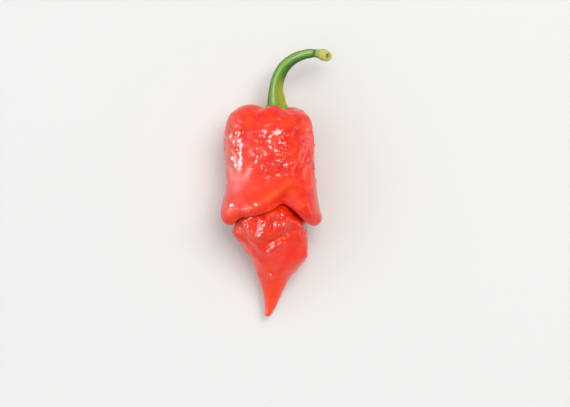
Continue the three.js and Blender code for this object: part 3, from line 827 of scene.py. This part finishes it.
def ripe_skin():
    """Glossy, waxy red skin: deep red, with a painted orange highlight along the roll and a painted brighter
    red down the tail where it slopes from the light, more orange towards the tip, under a thin clear coat.
    """
    material, nodes, links, shader = new_material("ripe_red_skin")
    place = nodes.new("ShaderNodeTexCoord").outputs["Object"]
    cloudy = noise_node(nodes, links, place, CLOUD_SCALE, 4, 0.65)
    speckle = noise_node(nodes, links, place, SPECKLE_SCALE, 2)
    red = ramp_node(nodes, links, cloudy, RED_CLOUDS)
    fine = ramp_node(nodes, links, speckle, RED_SPECKLE)
    red = mix_node(nodes, links, RED_SPECKLE_SHARE, red, fine, "MULTIPLY")
    # Painted highlight: orange mixed into the skin along the roll ridge.
    roll_painted_highlight = attribute_node(nodes, "roll_painted_highlight").outputs["Fac"]
    roll_highlight_share = maths_node(nodes, links, "MULTIPLY", roll_painted_highlight, ROLL_PAINTED_HIGHLIGHT_SHARE)
    red = mix_node(nodes, links, roll_highlight_share, red, ROLL_PAINTED_HIGHLIGHT)
    station = attribute_node(nodes, "station").outputs["Fac"]
    # Painted light: a brighter red down the tail, where it slopes away from the key.
    tail_painted_light = maths_node(nodes, links, "SUBTRACT", station, TAIL_PAINTED_LIGHT_FROM)
    tail_painted_light = maths_node(nodes, links, "MULTIPLY", tail_painted_light, TAIL_PAINTED_LIGHT_GAIN)
    tail_painted_light = maths_node(nodes, links, "MINIMUM", tail_painted_light, TAIL_PAINTED_LIGHT_MOST)
    red = mix_node(nodes, links, tail_painted_light, red, TAIL_PAINTED_LIGHT_RED)
    down_tip = maths_node(nodes, links, "SUBTRACT", station, TIP_ORANGE_FROM)
    down_tip = maths_node(nodes, links, "MULTIPLY", down_tip, TIP_ORANGE_GAIN)
    red = mix_node(nodes, links, down_tip, red, TIP_ORANGE)
    links.new(red, shader.inputs["Base Color"])
    gloss = attribute_node(nodes, "gloss").outputs["Fac"]
    bloom = attribute_node(nodes, "bloom").outputs["Fac"]
    sheen = maths_node(nodes, links, "MULTIPLY_ADD", bloom, SHEEN_FROM_BLOOM, SHEEN_LEAST)
    links.new(sheen, shader.inputs["Specular IOR Level"])
    links.new(maths_node(nodes, links, "MULTIPLY", gloss, COAT_MOST), shader.inputs["Coat Weight"])
    satin = maths_node(nodes, links, "MULTIPLY_ADD", gloss, ROUGHNESS_FROM_GLOSS, ROUGHNESS_WHEN_DULL)
    satin = maths_node(nodes, links, "MULTIPLY_ADD", bloom, ROUGHNESS_FROM_BLOOM, satin)
    links.new(satin, shader.inputs["Roughness"])
    set_values(shader, POD_FINISH)
    add_relief(nodes, links, shader, noise_node(nodes, links, place, PORE_SCALE, 3), PORE_RELIEF)
    return material


def green_stalk():
    """Satin green with lengthwise streaks, painted darker at its edges and on the inner side of its curve,
    with a painted pale reflection band and painted pale highlight lines, yellower at the base, with a dark
    ring before the pale end.
    """
    material, nodes, links, shader = new_material("green_stalk")
    stalk = attribute_node(nodes, "stalk").outputs["Vector"]
    stretch = nodes.new("ShaderNodeMapping")
    stretch.inputs["Scale"].default_value = STREAK_STRETCH
    links.new(stalk, stretch.inputs["Vector"])
    streaks = noise_node(nodes, links, stretch.outputs["Vector"], STREAK_SCALE, 3)
    parts = nodes.new("ShaderNodeSeparateXYZ")
    links.new(stalk, parts.inputs["Vector"])
    along = parts.outputs["Z"]
    across = maths_node(nodes, links, "MULTIPLY_ADD", parts.outputs["X"], 0.5, 0.5)
    steady = maths_node(nodes, links, "SUBTRACT", across, STREAK_WANDER / 2)
    wavy = maths_node(nodes, links, "MULTIPLY_ADD", streaks, STREAK_WANDER, steady)
    # Painted shade at the stalk's edges and a painted pale reflection band, by its side.
    green = ramp_node(nodes, links, wavy, GREEN_PAINTED_SHADE_ACROSS)
    lines = ramp_node(nodes, links, streaks, GREEN_LINES)
    green = mix_node(nodes, links, 1.0, green, lines, "MULTIPLY")

    olive_side = fade_node(nodes, links, across, OLIVE_ACROSS)
    olive_base = fade_node(nodes, links, along, OLIVE_ALONG)
    olive = maths_node(nodes, links, "MULTIPLY", olive_side, olive_base)
    olive = maths_node(nodes, links, "MULTIPLY", olive, OLIVE_MOST)
    green = mix_node(nodes, links, olive, green, OLIVE)

    tint = ramp_node(nodes, links, along, TINTS_ALONG)
    green = mix_node(nodes, links, fade_node(nodes, links, along, TINTED_ALONG), green, tint)

    # Painted highlight: pale lines mixed into the upper part of the stalk.
    highlight_side = fade_node(nodes, links, across, PAINTED_HIGHLIGHT_ACROSS)
    highlight_part = fade_node(nodes, links, along, PAINTED_HIGHLIGHT_ALONG)
    highlight_lines = fade_node(nodes, links, streaks, PAINTED_HIGHLIGHT_STREAKS)
    pale = maths_node(nodes, links, "MULTIPLY", highlight_part, highlight_lines)
    pale = maths_node(nodes, links, "MULTIPLY", highlight_side, pale)
    pale = maths_node(nodes, links, "MULTIPLY", pale, PAINTED_HIGHLIGHT_MOST)
    green = mix_node(nodes, links, pale, green, PAINTED_HIGHLIGHT_GREEN)

    ring_side = fade_node(nodes, links, across, RING_ACROSS)
    ring_part = fade_node(nodes, links, along, RING_ALONG)
    ring = maths_node(nodes, links, "MULTIPLY", ring_side, ring_part)
    green = mix_node(nodes, links, ring, green, RING_GREEN)

    pith = attribute_node(nodes, "pith").outputs["Fac"]
    pith = maths_node(nodes, links, "MULTIPLY", pith, PITH_MOST)
    green = mix_node(nodes, links, pith, green, PITH_BROWN)
    links.new(green, shader.inputs["Base Color"])
    set_values(shader, STEM_FINISH)
    add_relief(nodes, links, shader, streaks, STREAK_RELIEF)
    return material


def lay_floor():
    bm = bmesh.new()
    bmesh.ops.create_grid(bm, x_segments=1, y_segments=1, size=FLOOR_HALF)
    mesh = bpy.data.meshes.new("pale_floor")
    bm.to_mesh(mesh)
    bm.free()
    floor = bpy.data.objects.new("pale_floor", mesh)
    bpy.context.scene.collection.objects.link(floor)
    material, _, _, shader = new_material("pale_matt")
    set_values(shader, FLOOR_FINISH)
    mesh.materials.append(material)


def soft_light(name, place, size, power, colour, shades):
    """A flat light that only shades the skin, or that only shines on it."""
    lamp = bpy.data.lights.new(name, "AREA")
    lamp.shape = "RECTANGLE"
    lamp.size, lamp.size_y = size
    lamp.energy = power
    lamp.color = colour
    light = bpy.data.objects.new(name, lamp)
    light.location = place
    light.rotation_euler = (LIGHT_TARGET - light.location).to_track_quat("-Z", "Y").to_euler()
    light.visible_diffuse = shades
    light.visible_glossy = not shades
    bpy.context.scene.collection.objects.link(light)


def light_studio():
    for light in SHADING_LIGHTS:
        soft_light(*light, shades=True)
    for light in SHINING_LIGHTS:
        soft_light(*light, shades=False)
    world = bpy.data.worlds.new("studio")
    world.use_nodes = True
    nodes, links = world.node_tree.nodes, world.node_tree.links
    way = nodes.new("ShaderNodeSeparateXYZ")
    links.new(nodes.new("ShaderNodeTexCoord").outputs["Generated"], way.inputs["Vector"])
    glow = ramp_node(nodes, links, way.outputs["Z"], STUDIO_GLOW)
    links.new(glow, nodes["Background"].inputs["Color"])
    bpy.context.scene.world = world


def set_camera():
    camera = bpy.data.cameras.new("camera")
    camera.sensor_width = SENSOR_WIDTH
    camera.lens = camera.sensor_width * VIEW_DISTANCE / VIEW_WIDTH
    camera.clip_start, camera.clip_end = CAMERA_SEES
    viewer = bpy.data.objects.new("camera", camera)
    viewer.location = (VIEW_CENTRE[0] * MM, VIEW_CENTRE[1] * MM, (VIEW_LEVEL + VIEW_DISTANCE) * MM)
    bpy.context.scene.collection.objects.link(viewer)
    bpy.context.scene.camera = viewer


set_camera()
pod = shape_pod()
pod.data.materials.append(ripe_skin())
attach(pod, "root")
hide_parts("pod")

stem = shape_stem()
stem.data.materials.append(green_stalk())
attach(stem, "root")
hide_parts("stem")

lay_floor()
light_studio()
bpy.context.scene.view_settings.view_transform = "Standard"
